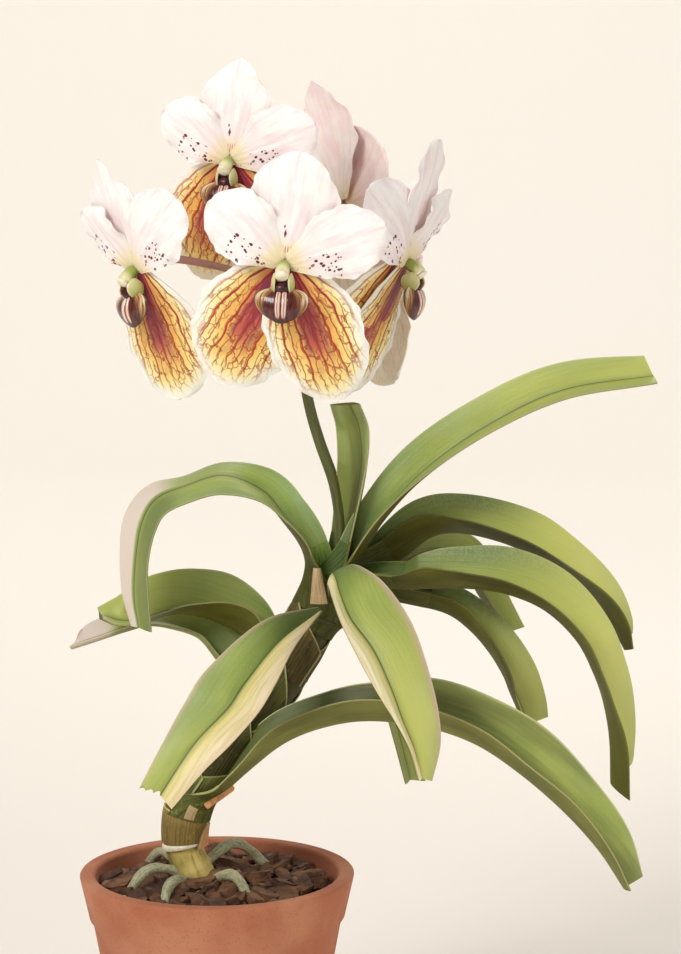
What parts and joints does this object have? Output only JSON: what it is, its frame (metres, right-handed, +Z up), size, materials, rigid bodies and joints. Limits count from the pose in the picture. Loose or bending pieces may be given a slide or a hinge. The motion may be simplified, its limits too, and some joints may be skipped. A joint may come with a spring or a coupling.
{
  "type": "potted vanda orchid",
  "caption": "Leaning orchid with arching folded strap leaves and a cluster of white and veined amber blooms, rooted in bark in a plain tapered clay pot.",
  "frame": {"origin": "centre of the pot's flat underside", "axes": "+Z up, -Y towards the viewer's side of the plant, +X to the side the stem leans to"},
  "size_m": [0.2938, 0.2038, 0.5211],
  "materials": {
    "clay": "unglazed terracotta, dry and matte, slightly chalky",
    "bark": "coarse fir bark chips, dry and rough",
    "stem": "old leaf sheaths, fibrous, olive to khaki with tan scars",
    "stalk": "smooth dark olive stalk, pinkish towards the blooms",
    "leaf": "leathery leaf, soft sheen, pale margins, darker underside",
    "petal": "soft matte petal, white to pale pink, maroon flecks at the base",
    "lateral_sepal": "soft matte sepal, amber with brick red net veins and a cream margin",
    "column": "waxy green to cream",
    "lip": "waxy dark maroon, tan edges, pale ridges"
  },
  "bodies": {
    "root": {"pot": "clay", "potting_bark": "bark", "stem": "stem", "flower_stalk": "stalk", "leaf_top_right": "leaf", "leaf_upright": "leaf", "leaf_right_high": "leaf", "leaf_right_mid": "leaf", "leaf_right_low": "leaf", "leaf_back_right": "leaf", "leaf_front": "leaf", "leaf_behind_front": "leaf", "leaf_low_right": "leaf", "leaf_left_arch": "leaf", "leaf_left_mid": "leaf", "leaf_left_low": "leaf", "leaf_front_left": "leaf", "bloom_front_column": "column", "bloom_front_petals": "petal", "bloom_front_lateral_sepals": "lateral_sepal", "bloom_front_lip": "lip", "bloom_left_column": "column", "bloom_left_petals": "petal", "bloom_left_lateral_sepals": "lateral_sepal", "bloom_left_lip": "lip", "bloom_right_column": "column", "bloom_right_petals": "petal", "bloom_right_lateral_sepals": "lateral_sepal", "bloom_right_lip": "lip", "bloom_top_column": "column", "bloom_top_petals": "petal", "bloom_top_lateral_sepals": "lateral_sepal", "bloom_top_lip": "lip", "bloom_back_high_column": "column", "bloom_back_high_petals": "petal", "bloom_back_high_lateral_sepals": "lateral_sepal", "bloom_back_high_lip": "lip", "bloom_back_low_column": "column", "bloom_back_low_petals": "petal", "bloom_back_low_lateral_sepals": "lateral_sepal", "bloom_back_low_lip": "lip"}
  },
  "joints": []
}
